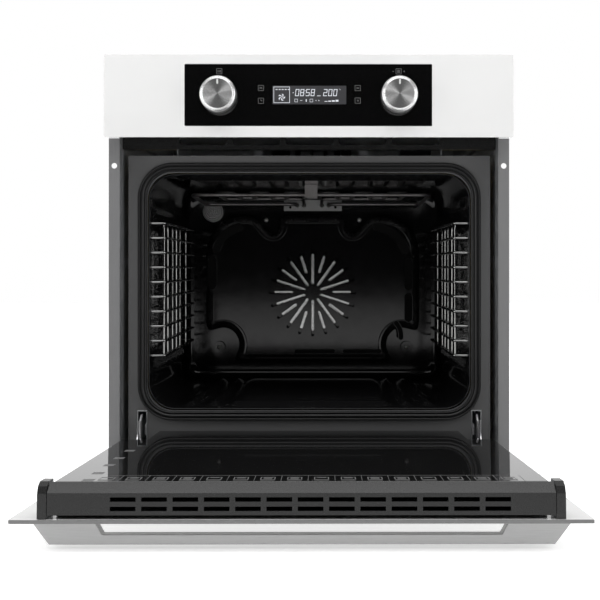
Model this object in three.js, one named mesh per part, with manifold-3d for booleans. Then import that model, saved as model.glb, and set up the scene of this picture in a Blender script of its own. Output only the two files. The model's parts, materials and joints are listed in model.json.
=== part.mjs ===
// Built-in oven, 60 cm wide, with its drop-down door open at the stop. Millimetres, +Z up, front towards -Y.
// The origin is the middle of the underside, where the carcase stands on the shelf of its niche.
import * as THREE from 'three';
import { mergeVertices } from 'three/addons/utils/BufferGeometryUtils.js';
import Module from 'manifold-3d';

// Front
const FRONT_W = 595;
const FACE_Y = -285; // face of the control panel and of the closed door
const FRONT_Z = 4; // lower edge of the front, above the shelf
const PANEL_H = 120;
const FRONT_TOP = FRONT_Z + 595;
const PANEL_LOW = FRONT_TOP - PANEL_H;
const GLASS = 4; // every pane

// Carcase
const SHEET = 1.2;
const BODY_W = 560;
const BODY_BACK = 262;
const BODY_TOP = 590;
const FLANGE_Y = -263;
const FLANGE_W = 590;
const FLANGE_TOP = 480;
const FRAME_Y = -237;
const FRAME_W = 542;
const FRAME_TOP = 457;
const SCREW_X = 287;
const SCREW_Z = 439.5;
const SCREW_R = 4.2;
const VENT = { halfWidth: 278, pitch: 79.4, half: 35.5, low: 472.5, high: 485.5, r: 6 };

// Cavity
const CAVITY_W = 480;
const CAVITY_LOW = 78.5;
const CAVITY_HIGH = 428.5;
const CAVITY_BACK = 174;
const CAVITY_R = 38;
const FAN_Z = 241.5;
const COVER_Z = 248.7;
const COVER_W = 404;
const COVER_H = 278;
const COVER_Y = 148;
const SEAL = { halfOuter: 256.5, low: 61, high: 446, rOuter: 52, halfInner: 243.2, rInner: 40 };
const RING_R = 95;
const RING_TAIL_Z = FAN_Z + 94.5;
const TERMINAL_Z = 407; // the grill heaters' ends in the back wall
const HEATERS_END = 200; // every heater's tail behind the cavity
const BASE_HEATER = { z: 69.5, halfWidth: 175, front: -160, back: 110, tail: 40 };
const LAMP = { x: -189.3, z: 394.2 };
const SENSOR = { x: -140, z: 300 };

// Racks
const RUNGS = 10;
const RUNG_PITCH = 22.2;
const RUNG_LOW = 156.5;
const RACK_FRONT = -225;
const RACK_BACK = 104;
const RACK_X = 217.4;
const WIRE_R = 2.4;
const RACK_END = 239.6; // where a rung meets the wall
const HOOPS = [[-216, -180], [-132, -90], [-50, 22]];

// Controls
const KNOB_X = 130.7;
const KNOB_Z = 539.2;
const KNOB_R = 26.3;
const KNOB_FRONT = -307;

// Door, measured from its hinge axis with the door closed: y towards the cavity, z up
const HINGE_Y = FACE_Y + 10;
const HINGE_Z = FRONT_Z + 16;
const OPEN_DEG = 87.3;
const DOOR_OUT = -10;
const DOOR_IN = 30.4;
const DOOR_LOW = -11;
const DOOR_HIGH = 455;
const TRIM_FACE = 452;
const TRIM_W = 518;
const DOOR_BODY_W = 537.4;
const PANE_W = 508;
const NOTCH_X = 219;
const NOTCH_Z = 97;
const HINGE_X = 250.5;
const HANDLE_LOW = 417;
const HANDLE_HIGH = 431;
const HANDLE_OUT = -36;

const wasm = await Module();
wasm.setup();

const oven = new THREE.Group();
const door = new THREE.Group();
door.position.set(0, HINGE_Y, HINGE_Z);
door.rotation.x = THREE.MathUtils.degToRad(OPEN_DEG);
oven.add(door);

// A closed three.js geometry as a solid, with its faces turned outwards
function solid(geometry) {
  geometry.deleteAttribute('normal');
  geometry.deleteAttribute('uv');
  const merged = mergeVertices(geometry, 1e-4);
  const at = merged.attributes.position;
  const corner = merged.index.array;
  const triangles = [];
  const [a, b, c] = [new THREE.Vector3(), new THREE.Vector3(), new THREE.Vector3()];
  let volume = 0;
  for (let i = 0; i < corner.length; i += 3) {
    const [p, q, r] = [corner[i], corner[i + 1], corner[i + 2]];
    if (p === q || q === r || r === p) continue;
    triangles.push([p, q, r]);
    a.fromBufferAttribute(at, p);
    b.fromBufferAttribute(at, q);
    c.fromBufferAttribute(at, r);
    volume += a.dot(b.cross(c));
  }
  const outward = volume < 0 ? triangles.map(([p, q, r]) => [p, r, q]) : triangles;
  return new wasm.Manifold(new wasm.Mesh({
    numProp: 3,
    vertProperties: new Float32Array(at.array),
    triVerts: new Uint32Array(outward.flat()),
  }));
}

function join(first, ...others) {
  return others.reduce((whole, piece) => whole.add(piece), first);
}

function cut(first, ...others) {
  return others.reduce((whole, piece) => whole.subtract(piece), first);
}

function box(x0, x1, y0, y1, z0, z1) {
  const shape = new THREE.BoxGeometry(x1 - x0, y1 - y0, z1 - z0);
  return solid(shape.translate((x0 + x1) / 2, (y0 + y1) / 2, (z0 + z1) / 2));
}

// An outline as a flat plate across one axis: (x, z) across Y, (y, z) across X, (x, y) across Z
function plate(shape, axis, from, to, curveSegments = 8) {
  const body = new THREE.ExtrudeGeometry(shape, { depth: to - from, bevelEnabled: false, curveSegments });
  if (axis === 'y') body.rotateX(Math.PI / 2).translate(0, to, 0);
  if (axis === 'z') body.translate(0, 0, from);
  if (axis === 'x') {
    const turn = new THREE.Matrix4().makeBasis(
      new THREE.Vector3(0, 1, 0),
      new THREE.Vector3(0, 0, 1),
      new THREE.Vector3(1, 0, 0),
    );
    body.applyMatrix4(turn).translate(from, 0, 0);
  }
  return solid(body);
}

function polygon(points) {
  return new THREE.Shape(points.map(([u, v]) => new THREE.Vector2(u, v)));
}

function rounded(x0, x1, z0, z1, r) {
  const shape = new THREE.Shape();
  shape.moveTo(x0 + r, z0);
  shape.lineTo(x1 - r, z0);
  shape.absarc(x1 - r, z0 + r, r, -Math.PI / 2, 0, false);
  shape.lineTo(x1, z1 - r);
  shape.absarc(x1 - r, z1 - r, r, 0, Math.PI / 2, false);
  shape.lineTo(x0 + r, z1);
  shape.absarc(x0 + r, z1 - r, r, Math.PI / 2, Math.PI, false);
  shape.lineTo(x0, z0 + r);
  shape.absarc(x0 + r, z0 + r, r, Math.PI, 1.5 * Math.PI, false);
  return shape;
}

// A turned piece: [radius, place along the axis] points, about an axis along X, Y or Z
function turned(points, axis, centre, segments = 24) {
  const body = new THREE.LatheGeometry(points.map(([r, h]) => new THREE.Vector2(r, h)), segments);
  if (axis === 'x') body.rotateZ(-Math.PI / 2);
  if (axis === 'z') body.rotateX(Math.PI / 2);
  return solid(body.translate(...centre));
}

function rod(r, axis, from, to, centre, segments = 12) {
  return turned([[0, from], [r, from], [r, to], [0, to]], axis, centre, segments);
}

// A wire through corner points, each corner bent to a radius; equal steps fall on its own knots
class BentWire extends THREE.Curve {
  constructor(corners, bend, steps = 3) {
    super();
    const points = corners.map((p) => new THREE.Vector3(...p));
    this.knots = [points[0]];
    for (let i = 1; i < points.length - 1; i += 1) {
      const back = points[i - 1].clone().sub(points[i]).normalize();
      const on = points[i + 1].clone().sub(points[i]).normalize();
      const start = points[i].clone().addScaledVector(back, bend);
      const end = points[i].clone().addScaledVector(on, bend);
      const arc = new THREE.QuadraticBezierCurve3(start, points[i], end);
      this.knots.push(...(bend > 0 ? arc.getPoints(steps) : [points[i]]));
    }
    this.knots.push(points[points.length - 1]);
    this.knots = this.knots.filter((p, i, all) => i === 0 || p.distanceTo(all[i - 1]) > 0.05);
  }

  getPoint(t, target = new THREE.Vector3()) {
    const place = t * (this.knots.length - 1);
    const i = Math.min(Math.floor(place + 1e-9), this.knots.length - 2);
    return target.lerpVectors(this.knots[i], this.knots[i + 1], place - i);
  }

  getPointAt(u, target) {
    return this.getPoint(u, target);
  }

  getTangentAt(u, target = new THREE.Vector3()) {
    const last = this.knots.length - 1;
    const i = Math.round(u * last);
    const before = this.knots[Math.max(i - 1, 0)];
    const here = this.knots[i];
    const after = this.knots[Math.min(i + 1, last)];
    const one = here.clone().sub(before).normalize();
    const two = after.clone().sub(here).normalize();
    return target.copy(one.add(two).normalize());
  }
}

function wire(corners, r, bend, sides = 6, steps = 3) {
  const path = new BentWire(corners, bend, steps);
  const section = new THREE.Shape();
  for (let i = 0; i < sides; i += 1) {
    const turn = (2 * Math.PI * (i + 0.5)) / sides;
    if (i === 0) section.moveTo(r * Math.cos(turn), r * Math.sin(turn));
    else section.lineTo(r * Math.cos(turn), r * Math.sin(turn));
  }
  return solid(new THREE.ExtrudeGeometry(section, { steps: path.knots.length - 1, extrudePath: path }));
}

const finish = (color, roughness, metalness = 0) => ({ color, roughness, metalness });
const WHITE = finish(0xeeeeee, 0.12);
const STEEL = finish(0xa8a8a8, 0.35, 0.9);
const ZINC = finish(0x8c8c8c, 0.45, 0.8);
const CHROME = finish(0xd0d0d0, 0.15, 1);
const GREY_PAINT = finish(0x505050, 0.45);
const ENAMEL = finish(0x1c1c1c, 0.15);
const BLACK_PLASTIC = finish(0x262626, 0.5);
const DARK_GLASS = finish(0x101010, 0.05);
const RUBBER = finish(0x2c2c2c, 0.8);
const WOOL = finish(0xb8a878, 0.95);
const BOARD = finish(0x1f5a34, 0.6);
const OPAL = finish(0xd8d8d0, 0.3);

function part(name, look, body, parent = oven) {
  const { vertProperties, triVerts } = body.getMesh();
  const geometry = new THREE.BufferGeometry();
  geometry.setAttribute('position', new THREE.BufferAttribute(vertProperties, 3));
  geometry.setIndex(new THREE.BufferAttribute(triVerts, 1));
  geometry.computeVertexNormals();
  const mesh = new THREE.Mesh(geometry, new THREE.MeshStandardMaterial(look));
  mesh.name = name;
  parent.add(mesh);
}

const SIDES = [['left', -1], ['right', 1]];
// A box given by its distances from the middle plane, on one side of it
function sideBox(side, near, far, y0, y1, z0, z1) {
  return side < 0 ? box(-far, -near, y0, y1, z0, z1) : box(near, far, y0, y1, z0, z1);
}
function sidePlate(side, shape, near, far) {
  return side < 0 ? plate(shape, 'x', -far, -near) : plate(shape, 'x', near, far);
}

// --- Outer casing: sheet-steel panels, the two flanges that are screwed to the niche, and the front frame
const HALF = BODY_W / 2;
part('base_plate', ZINC, box(-HALF, HALF, -BODY_BACK, BODY_BACK, 0, SHEET));
part('top_cover', ZINC, box(-HALF, HALF, -245, BODY_BACK, BODY_TOP - SHEET, BODY_TOP));
const INLET = { x: 202, z: 532, r: 11 };
const rearSlots = [];
for (let i = -4; i <= 4; i += 1) rearSlots.push(box(i * 50 - 18, i * 50 + 18, 260, 265, 478, 484));
part('rear_cover', ZINC, cut(
  box(-HALF, HALF, BODY_BACK + 0.3, BODY_BACK + 1.3, 1.8, BODY_TOP - 1.6),
  rod(INLET.r, 'y', 258, 268, [INLET.x, 0, INLET.z]),
  ...rearSlots,
));
for (const [name, side] of SIDES) {
  part(`side_panel_${name}`, ZINC, sideBox(side, HALF - 1, HALF, -261.4, BODY_BACK, 1.5, BODY_TOP - 1.5));
  const screw = rod(SCREW_R, 'y', -266, -258, [side * SCREW_X, 0, SCREW_Z], 16);
  part(`mounting_flange_${name}`, STEEL, cut(join(
    sideBox(side, HALF - 1, FLANGE_W / 2, FLANGE_Y, FLANGE_Y + SHEET, 10, FLANGE_TOP),
    sideBox(side, HALF + 0.4, HALF + 1.6, FLANGE_Y + 1, -235, 10, FLANGE_TOP),
    sideBox(side, FLANGE_W / 2 - 1, FLANGE_W / 2, FLANGE_Y + 1, -256, 10, FLANGE_TOP),
  ), screw));
}

const HALF_FRAME = FRAME_W / 2;
const HALF_CAVITY = CAVITY_W / 2;
const frameHole = rounded(-HALF_CAVITY - 2.5, HALF_CAVITY + 2.5, CAVITY_LOW - 2.8, CAVITY_HIGH + 2.8, 40);
const hingeSlots = SIDES.map(([, side]) => sideBox(side, 242.5, 258.7, -240, -230, 24, 76));
const frameReturns = SIDES.map(([, side]) => (
  sideBox(side, HALF_FRAME - 1, HALF_FRAME, FRAME_Y + 1, -215, 3, FRAME_TOP)
));
part('front_frame', GREY_PAINT, cut(
  join(box(-HALF_FRAME, HALF_FRAME, FRAME_Y, FRAME_Y + SHEET, 3, FRAME_TOP), ...frameReturns),
  plate(frameHole, 'y', -240, -230, 5),
  ...hingeSlots,
));

// The strip under the control panel lets the cooling air out through five rounded openings
const ventHoles = [-2, -1, 0, 1, 2].map((i) => (
  plate(rounded(
    i * VENT.pitch - VENT.half,
    i * VENT.pitch + VENT.half,
    VENT.low,
    VENT.high,
    VENT.r,
  ), 'y', -250, -220, 3)
));
part('vent_strip', BLACK_PLASTIC, cut(
  box(-VENT.halfWidth, VENT.halfWidth, -243, -226, VENT.low - 6.5, VENT.high + 2.5),
  ...ventHoles,
));

// --- Cavity: an enamelled box open at the front, its seal, and the wool around it
const liner = (grow, y0, y1) => plate(rounded(
  -HALF_CAVITY - grow,
  HALF_CAVITY + grow,
  CAVITY_LOW - grow,
  CAVITY_HIGH + grow,
  CAVITY_R + grow,
), 'y', y0, y1, 5);
const ringTail = 13;
const grillTerminals = [-30, -17, 17, 30];
const throughBack = (r, x, z, segments) => rod(r, 'y', CAVITY_BACK - 4, CAVITY_BACK + 6, [x, 0, z], segments);
const backHoles = [
  throughBack(6, 0, FAN_Z),
  throughBack(14, LAMP.x, LAMP.z, 16),
  throughBack(4, SENSOR.x, SENSOR.z, 8),
  ...[-ringTail, ringTail].map((x) => throughBack(5, x, RING_TAIL_Z, 8)),
  ...grillTerminals.map((x) => throughBack(4.5, x, TERMINAL_Z, 8)),
];
part('cavity_liner', ENAMEL, cut(
  liner(1, FRAME_Y, CAVITY_BACK + 1),
  liner(0, FRAME_Y - 5, CAVITY_BACK),
  ...backHoles,
));
const sealShape = rounded(-SEAL.halfOuter, SEAL.halfOuter, SEAL.low, SEAL.high, SEAL.rOuter);
sealShape.holes.push(rounded(
  -SEAL.halfInner,
  SEAL.halfInner,
  CAVITY_LOW - 3.3,
  CAVITY_HIGH + 3.3,
  SEAL.rInner,
));
part('door_gasket', RUBBER, plate(sealShape, 'y', -244.3, FRAME_Y - 0.3, 6));
part('insulation', WOOL, cut(
  box(-268, 268, -233, 212, 48, 452),
  box(-243, 243, -240, 181, 62, 432),
  rod(50, 'y', 170, 220, [0, 0, FAN_Z], 20),
  rod(20, 'y', 170, 220, [LAMP.x, 0, LAMP.z]),
  rod(5, 'y', 170, 220, [SENSOR.x, 0, SENSOR.z], 8),
  box(-20, 20, 170, 220, FAN_Z + 86, FAN_Z + 104),
  box(-40, 40, 170, 220, 400, 414),
  ...[-1, 1].map((side) => rod(6, 'y', 170, 220, [side * BASE_HEATER.tail, 0, BASE_HEATER.z], 8)),
  ...SIDES.map(([, side]) => sideBox(side, 242, 275, -240, -155, 40, 82)),
));

// --- Convection: fan cover with its slots, fan, motor and ring heater
const COVER_SCREWS = [[-87, 371, 26], [87, 371, 26], [-172, 143.5, 34], [172, 143.5, 34]];
const pan = (inset, y0, y1) => cut(
  plate(rounded(
    -COVER_W / 2 + inset,
    COVER_W / 2 - inset,
    COVER_Z - COVER_H / 2 + inset,
    COVER_Z + COVER_H / 2 - inset,
    70 - inset,
  ), 'y', y0, y1, 5),
  ...COVER_SCREWS.map(([x, z, r]) => rod(r + inset, 'y', y0 - 5, y1 + 5, [x, 0, z], 18)),
);
const radialSlots = [];
for (let i = 0; i < 20; i += 1) {
  const inner = i % 2 ? 17 : 39.5;
  const slot = new THREE.BoxGeometry(5.2, 20, 81.5 - inner).translate(0, COVER_Y, (81.5 + inner) / 2);
  slot.rotateY((Math.PI * (2 * i + 1)) / 20 + Math.PI / 20);
  radialSlots.push(solid(slot.translate(0, 0, FAN_Z)));
}
// The outlets at the pan's rim, each as x0, x1, z0, z1 and its corner radius
const airSlots = [
  [-197, -181, FAN_Z + 6, FAN_Z + 68, 8],
  [172, 187, FAN_Z + 6, FAN_Z + 66, 7],
  [172, 187, FAN_Z - 55, FAN_Z, 7],
  [-33, 41, 128, 134.5, 3],
  [57, 129, 128, 134.5, 3],
].map((edges) => plate(rounded(...edges), 'y', COVER_Y - 8, COVER_Y + 8, 3));
const ears = COVER_SCREWS.map(([x, z, r]) => cut(
  plate(rounded(
    -COVER_W / 2,
    COVER_W / 2,
    COVER_Z - COVER_H / 2,
    COVER_Z + COVER_H / 2,
    20,
  ), 'y', 172.5, 173.7, 5).intersect(rod(r + 1, 'y', 170, 176, [x, 0, z], 18)),
  rod(2.2, 'y', 170, 176, [x, 0, z], 8),
));
part('fan_cover', ENAMEL, join(cut(
  cut(pan(0, COVER_Y, 173.7), pan(1.2, COVER_Y + 1.2, 180)),
  ...radialSlots,
  ...airSlots,
), ...ears));

const blades = [];
for (let i = 0; i < 14; i += 1) {
  const blade = new THREE.BoxGeometry(1.6, 14.5, 50).translate(0, 161.2, 47);
  blades.push(solid(blade.rotateY((2 * Math.PI * i) / 14).translate(0, 0, FAN_Z)));
}
part('fan_rotor', STEEL, join(
  turned([[0, 156], [12, 156], [14, 160], [14, 168], [72, 168], [72, 169.6], [3.5, 169.6],
    [3.5, 196], [0, 196]], 'y', [0, 0, FAN_Z], 24),
  ...blades,
));
part('fan_motor', ZINC, turned([[0, 200], [4.2, 200], [4.2, 176], [46, 176], [46, 204], [30, 204],
  [30, 238], [0, 238]], 'y', [0, 0, FAN_Z], 20));
const ring = [[ringTail, HEATERS_END, RING_TAIL_Z], [ringTail, 166, RING_TAIL_Z]];
for (let turn = 80; turn >= -260; turn -= 17) {
  const a = THREE.MathUtils.degToRad(turn);
  ring.push([RING_R * Math.cos(a), 161, FAN_Z + RING_R * Math.sin(a)]);
}
ring.push([-ringTail, 166, RING_TAIL_Z], [-ringTail, HEATERS_END, RING_TAIL_Z]);
part('ring_heater', STEEL, wire(ring, 3.3, 0));
part('temperature_sensor', STEEL, rod(2.6, 'y', 156, 205, [SENSOR.x, 0, SENSOR.z], 10));

// --- Grill: two tube heaters under the ceiling, their terminal plate, and the clip on the front bar
const GRILL_Z = 416;
const run = (k) => 14.75 + 29.5 * k;
const serpentine = [
  [17, HEATERS_END, TERMINAL_Z],
  [17, 150, TERMINAL_Z],
  [17, 128, GRILL_Z],
  [run(5), 128, GRILL_Z],
];
const runs = [5, 4, 3, 2, 1, 0].map(run);
const all = [...runs, ...runs.map((x) => -x).reverse()];
all.forEach((x, i) => {
  const forward = i % 2 === 0;
  if (i > 0) serpentine.push([x, forward ? 100 : -30, GRILL_Z]);
  if (i < all.length - 1) serpentine.push([x, forward ? -30 : 100, GRILL_Z]);
});
serpentine.push(
  [-run(5), 128, GRILL_Z],
  [-17, 128, GRILL_Z],
  [-17, 150, TERMINAL_Z],
  [-17, HEATERS_END, TERMINAL_Z],
);
part('grill_heater_inner', STEEL, wire(serpentine, 3.1, 11, 6, 2));
const OUTER = { x: 200, front: -54, back: 145, z: 411 };
part('grill_heater_outer', STEEL, wire([
  [30, HEATERS_END, TERMINAL_Z],
  [30, OUTER.back, TERMINAL_Z],
  [OUTER.x, OUTER.back, TERMINAL_Z],
  [OUTER.x, OUTER.front, OUTER.z],
  [-OUTER.x, OUTER.front, OUTER.z],
  [-OUTER.x, OUTER.back, TERMINAL_Z],
  [-30, OUTER.back, TERMINAL_Z],
  [-30, HEATERS_END, TERMINAL_Z],
], 3.3, 18, 6, 3));
part('grill_terminal_plate', STEEL, cut(
  box(-55, 55, 172.5, 173.7, 396, 417),
  ...grillTerminals.map((x) => rod(4.3, 'y', 170, 176, [x, 0, TERMINAL_Z], 8)),
  ...[-43, 43].map((x) => rod(2.5, 'y', 170, 176, [x, 0, 403], 8)),
));
part('grill_clip', STEEL, cut(
  box(-10.5, 10.5, -59, -49, 406, CAVITY_HIGH - 0.4),
  rod(3.8, 'x', -15, 15, [0, OUTER.front, OUTER.z], 10),
));
part('bottom_heater', STEEL, wire([
  [BASE_HEATER.tail, 205],
  [BASE_HEATER.tail, BASE_HEATER.back],
  [BASE_HEATER.halfWidth, BASE_HEATER.back],
  [BASE_HEATER.halfWidth, BASE_HEATER.front],
  [-BASE_HEATER.halfWidth, BASE_HEATER.front],
  [-BASE_HEATER.halfWidth, BASE_HEATER.back],
  [-BASE_HEATER.tail, BASE_HEATER.back],
  [-BASE_HEATER.tail, 205],
].map(([x, y]) => [x, y, BASE_HEATER.z]), 3.3, 25, 6, 3));

// --- Lamp: glass cap inside the cavity, bulb, and the holder behind the wall
const lampAt = [LAMP.x, 0, LAMP.z];
part('lamp_glass', OPAL, turned([[0, 159], [9, 159.6], [16, 163], [19.6, 168], [20.3, 173.6], [16, 173.6],
  [15.4, 169], [12, 165.2], [0, 162.2]], 'y', lampAt));
part('lamp_bulb', OPAL, turned([[0, 168], [4, 169.5], [5.5, 174], [5.5, 202], [0, 202]], 'y', lampAt, 12));
part('lamp_housing', BLACK_PLASTIC, turned([[0, 212], [18, 212], [18, 175.4], [16.8, 175.4], [16.8, 210.8],
  [0, 210.8]], 'y', lampAt, 16));

// --- Side racks: ten U-shaped rungs on three hoops, pushed into the cavity walls
for (const [name, side] of SIDES) {
  const wires = [];
  for (let i = 0; i < RUNGS; i += 1) {
    const z = RUNG_LOW + i * RUNG_PITCH;
    wires.push(wire([
      [side * RACK_END, RACK_FRONT, z],
      [side * RACK_X, RACK_FRONT, z],
      [side * RACK_X, RACK_BACK, z],
      [side * RACK_END, RACK_BACK, z],
    ], WIRE_R, 7, 5, 2));
  }
  const top = RUNG_LOW + (RUNGS - 1) * RUNG_PITCH;
  for (const [front, back] of HOOPS) {
    wires.push(wire([
      [side * (RACK_X + 4), back, RUNG_LOW + 1],
      [side * (RACK_X + 4), back, top + 1],
      [side * (RACK_X + 4), front, top + 1],
      [side * (RACK_X + 4), front, RUNG_LOW + 1],
    ], WIRE_R, 12, 5, 2));
  }
  part(`rack_${name}`, CHROME, join(...wires));
}

// --- Cooling: blower and its drum above the wool, and the duct that leads to the vent strip
part('air_duct', ZINC, cut(
  box(-200, 200, -222, -72, 455, 487),
  box(-199, 199, -230, -60, 456, 486),
));
const BLOWER_Y = 25;
part('blower_housing', ZINC, cut(
  box(-95, 95, -70, 120, 455, 515),
  box(-93.8, 93.8, -68.8, 118.8, 456.2, 513.8),
  box(-80, 80, -75, -60, 458, 485),
  rod(52, 'z', 510, 520, [0, BLOWER_Y, 0], 20),
));
const vanes = [];
for (let i = 0; i < 16; i += 1) {
  const vane = new THREE.BoxGeometry(12, 1.5, 37).translate(63, 0, 482);
  vanes.push(solid(vane.rotateZ((2 * Math.PI * i) / 16).translate(0, BLOWER_Y, 0)));
}
part('blower_rotor', BLACK_PLASTIC, join(
  turned([[0, 462], [70, 462], [70, 464], [12, 464], [12, 474], [3, 474], [3, 530], [0, 530]],
    'z', [0, BLOWER_Y, 0], 20),
  turned([[57, 500], [70, 500], [70, 502], [57, 502], [57, 500]], 'z', [0, BLOWER_Y, 0], 20),
  ...vanes,
));
part('blower_motor', ZINC, cut(join(
  rod(28, 'z', 518, 556, [0, BLOWER_Y, 0], 16),
  box(-62, 62, BLOWER_Y - 8, BLOWER_Y + 8, 516.2, 518.2),
), rod(3.6, 'z', 510, 534, [0, BLOWER_Y, 0], 10)));
part('terminal_box', BLACK_PLASTIC, cut(
  box(170, 235, 222, 261.8, 505, 560),
  box(173, 232, 225, 257, 508, 557),
  rod(8, 'y', 250, 265, [INLET.x, 0, INLET.z], 12),
));

// --- Controls: glass front, its carrier, display, board, two encoders, two knobs pressed on their shafts
part('control_panel', WHITE, cut(
  plate(rounded(-FRONT_W / 2, FRONT_W / 2, PANEL_LOW, FRONT_TOP, 2.5), 'y', FACE_Y, FACE_Y + GLASS + 1, 2),
  ...[-KNOB_X, KNOB_X].map((x) => rod(4, 'y', -290, -275, [x, 0, KNOB_Z], 12)),
));
part('panel_carrier', BLACK_PLASTIC, cut(
  box(-290, 290, -279.7, -263.3, 484, 588),
  box(-288.5, 288.5, -278.2, -250, 485.5, 586.5),
  box(-56, 59.5, -282, -270, 522, 559),
  ...[-KNOB_X, KNOB_X].map((x) => rod(12, 'y', -282, -270, [x, 0, KNOB_Z], 12)),
));
part('display_module', BLACK_PLASTIC, box(-54, 57.5, -279.6, -266, 524, 557));
part('control_board', BOARD, box(-150, 150, -261.5, -259.9, 500, 576));
for (const [name, x] of [['function', -KNOB_X], ['temperature', KNOB_X]]) {
  part(`${name}_encoder`, ZINC, cut(
    box(x - 8, x + 8, -277.8, -261.8, KNOB_Z - 8, KNOB_Z + 8),
    rod(3.2, 'y', -280, -263, [x, 0, KNOB_Z], 12),
  ));
  part(`${name}_knob`, CHROME, turned([[0, KNOB_FRONT], [21.9, KNOB_FRONT], [KNOB_R, KNOB_FRONT + 4.5],
    [KNOB_R, FACE_Y - 0.6], [3, FACE_Y - 0.6], [3, -264], [0, -264]], 'y', [x, 0, KNOB_Z], 32));
}

// --- Hinges: receivers in the carcase, arms hooked in them, and the flip-over latches
const armOutline = polygon([[-276, 25.3], [-254, 36], [-252, 62], [-240, 70], [-196, 70], [-196, 34],
  [-206, 34], [-206, 52], [-236, 52], [-240, 26], [-271, 15.5]]);
const latchOutline = polygon([[-251, 62], [-243.5, 62], [-243.5, 55], [-251, 40], [-255, 33], [-262, 30.5],
  [-263, 33.5], [-258, 37], [-255, 44]]);
for (const [name, side] of SIDES) {
  part(`hinge_receiver_${name}`, ZINC, cut(
    sideBox(side, 243.2, 258.2, -235.4, -165, 24.4, 75.6),
    sideBox(side, 244.4, 257, -240, -167, 26, 74),
  ));
  const axisPin = (r, near, far) => (
    rod(r, 'x', side < 0 ? -far : near, side < 0 ? -near : far, [0, HINGE_Y, HINGE_Z])
  );
  part(`hinge_arm_${name}`, STEEL, cut(
    join(sidePlate(side, armOutline, 249, 252), axisPin(5.4, 249, 252)),
    axisPin(2.9, 245, 256),
  ));
  part(`hinge_latch_${name}`, STEEL, sidePlate(side, latchOutline, 253, 255));
}

// --- Door: outer and inner panes on a black body, hinge cases in its sides, and the bar handle
part('door_outer_panel', WHITE, plate(
  rounded(-FRONT_W / 2, FRONT_W / 2, DOOR_LOW, DOOR_HIGH, 2.5), 'y', DOOR_OUT, DOOR_OUT + GLASS, 2,
), door);
part('door_middle_glass', DARK_GLASS, box(-240, 240, 9, 9 + GLASS, 4, 436), door);
const HALF_PANE = PANE_W / 2;
part('door_inner_glass', DARK_GLASS, plate(polygon([
  [-NOTCH_X, -5],
  [NOTCH_X, -5],
  [NOTCH_X, NOTCH_Z],
  [HALF_PANE, NOTCH_Z],
  [HALF_PANE, 440],
  [-HALF_PANE, 440],
  [-HALF_PANE, NOTCH_Z],
  [-NOTCH_X, NOTCH_Z],
]), 'y', DOOR_IN - GLASS, DOOR_IN), door);
const trimOutline = polygon([[-2, TRIM_FACE], [20.5, TRIM_FACE], [30.2, 441.3], [30.2, 440.4], [26, 440.4],
  [26, 438], [-2, 438]]);
const TRIM_SLOT_SHIFT = 9; // the slots sit a little to the right of the middle
const trimSlots = [];
for (let i = -6; i <= 6; i += 1) {
  for (const low of [2.4, 11.8]) {
    const x = i * 31.8 + TRIM_SLOT_SHIFT;
    trimSlots.push(box(x - 13, x + 13, low, low + 4.4, 430, 460));
  }
}
part('door_top_trim', BLACK_PLASTIC, cut(
  plate(trimOutline, 'x', -TRIM_W / 2, TRIM_W / 2),
  ...trimSlots,
), door);
part('door_bottom_rail', BLACK_PLASTIC, box(-218, 218, -5.7, 26.1, -8, 3), door);
const capOutline = polygon([[-5.7, TRIM_FACE + 0.5], [20, TRIM_FACE + 0.5], [27, 449], [31, 442], [31, 425],
  [-5.7, 425]]);
const railOutline = polygon([[14, NOTCH_Z], [26.1, NOTCH_Z], [26.1, 435.7], [-5.7, 435.7], [-5.7, 192],
  [14, 192]]);
for (const [name, side] of SIDES) {
  part(`door_end_cap_${name}`, BLACK_PLASTIC,
    sidePlate(side, capOutline, TRIM_W / 2 + 0.3, DOOR_BODY_W / 2), door);
  part(`door_side_rail_${name}`, BLACK_PLASTIC, sidePlate(side, railOutline, 246, 253), door);
  const cheeks = [[243.5, 245], [256, 257.5]].map(([near, far]) => (
    sideBox(side, near, far, -5.7, 13.5, -8, 190)
  ));
  part(`hinge_case_${name}`, ZINC, join(
    ...cheeks,
    sideBox(side, 243.5, 257.5, -5.7, -4.7, 12, 190),
    sideBox(side, 243.5, 257.5, 12.5, 13.5, 62, 190),
    rod(2.5, 'x', side < 0 ? -257 : 244, side < 0 ? -244 : 257, [0, 0, 0]),
  ), door);
  part(`hinge_rod_${name}`, STEEL, join(
    rod(2.2, 'z', 14, 160, [side * HINGE_X, 4, 0]),
    rod(4.5, 'z', 150, 154, [side * HINGE_X, 4, 0]),
  ), door);
}
part('door_handle', STEEL, plate(polygon([
  [-282, DOOR_OUT - 0.3],
  [-262, HANDLE_OUT],
  [262, HANDLE_OUT],
  [282, DOOR_OUT - 0.3],
  [216, DOOR_OUT - 0.3],
  [207, HANDLE_OUT + 10.3],
  [-207, HANDLE_OUT + 10.3],
  [-216, DOOR_OUT - 0.3],
]), 'z', HANDLE_LOW, HANDLE_HIGH), door);

export default oven;
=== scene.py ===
"""Built-in oven with its door open: the looks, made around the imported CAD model.

Metres, +Z up, front to -Y.
"""
import json
import math

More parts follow.
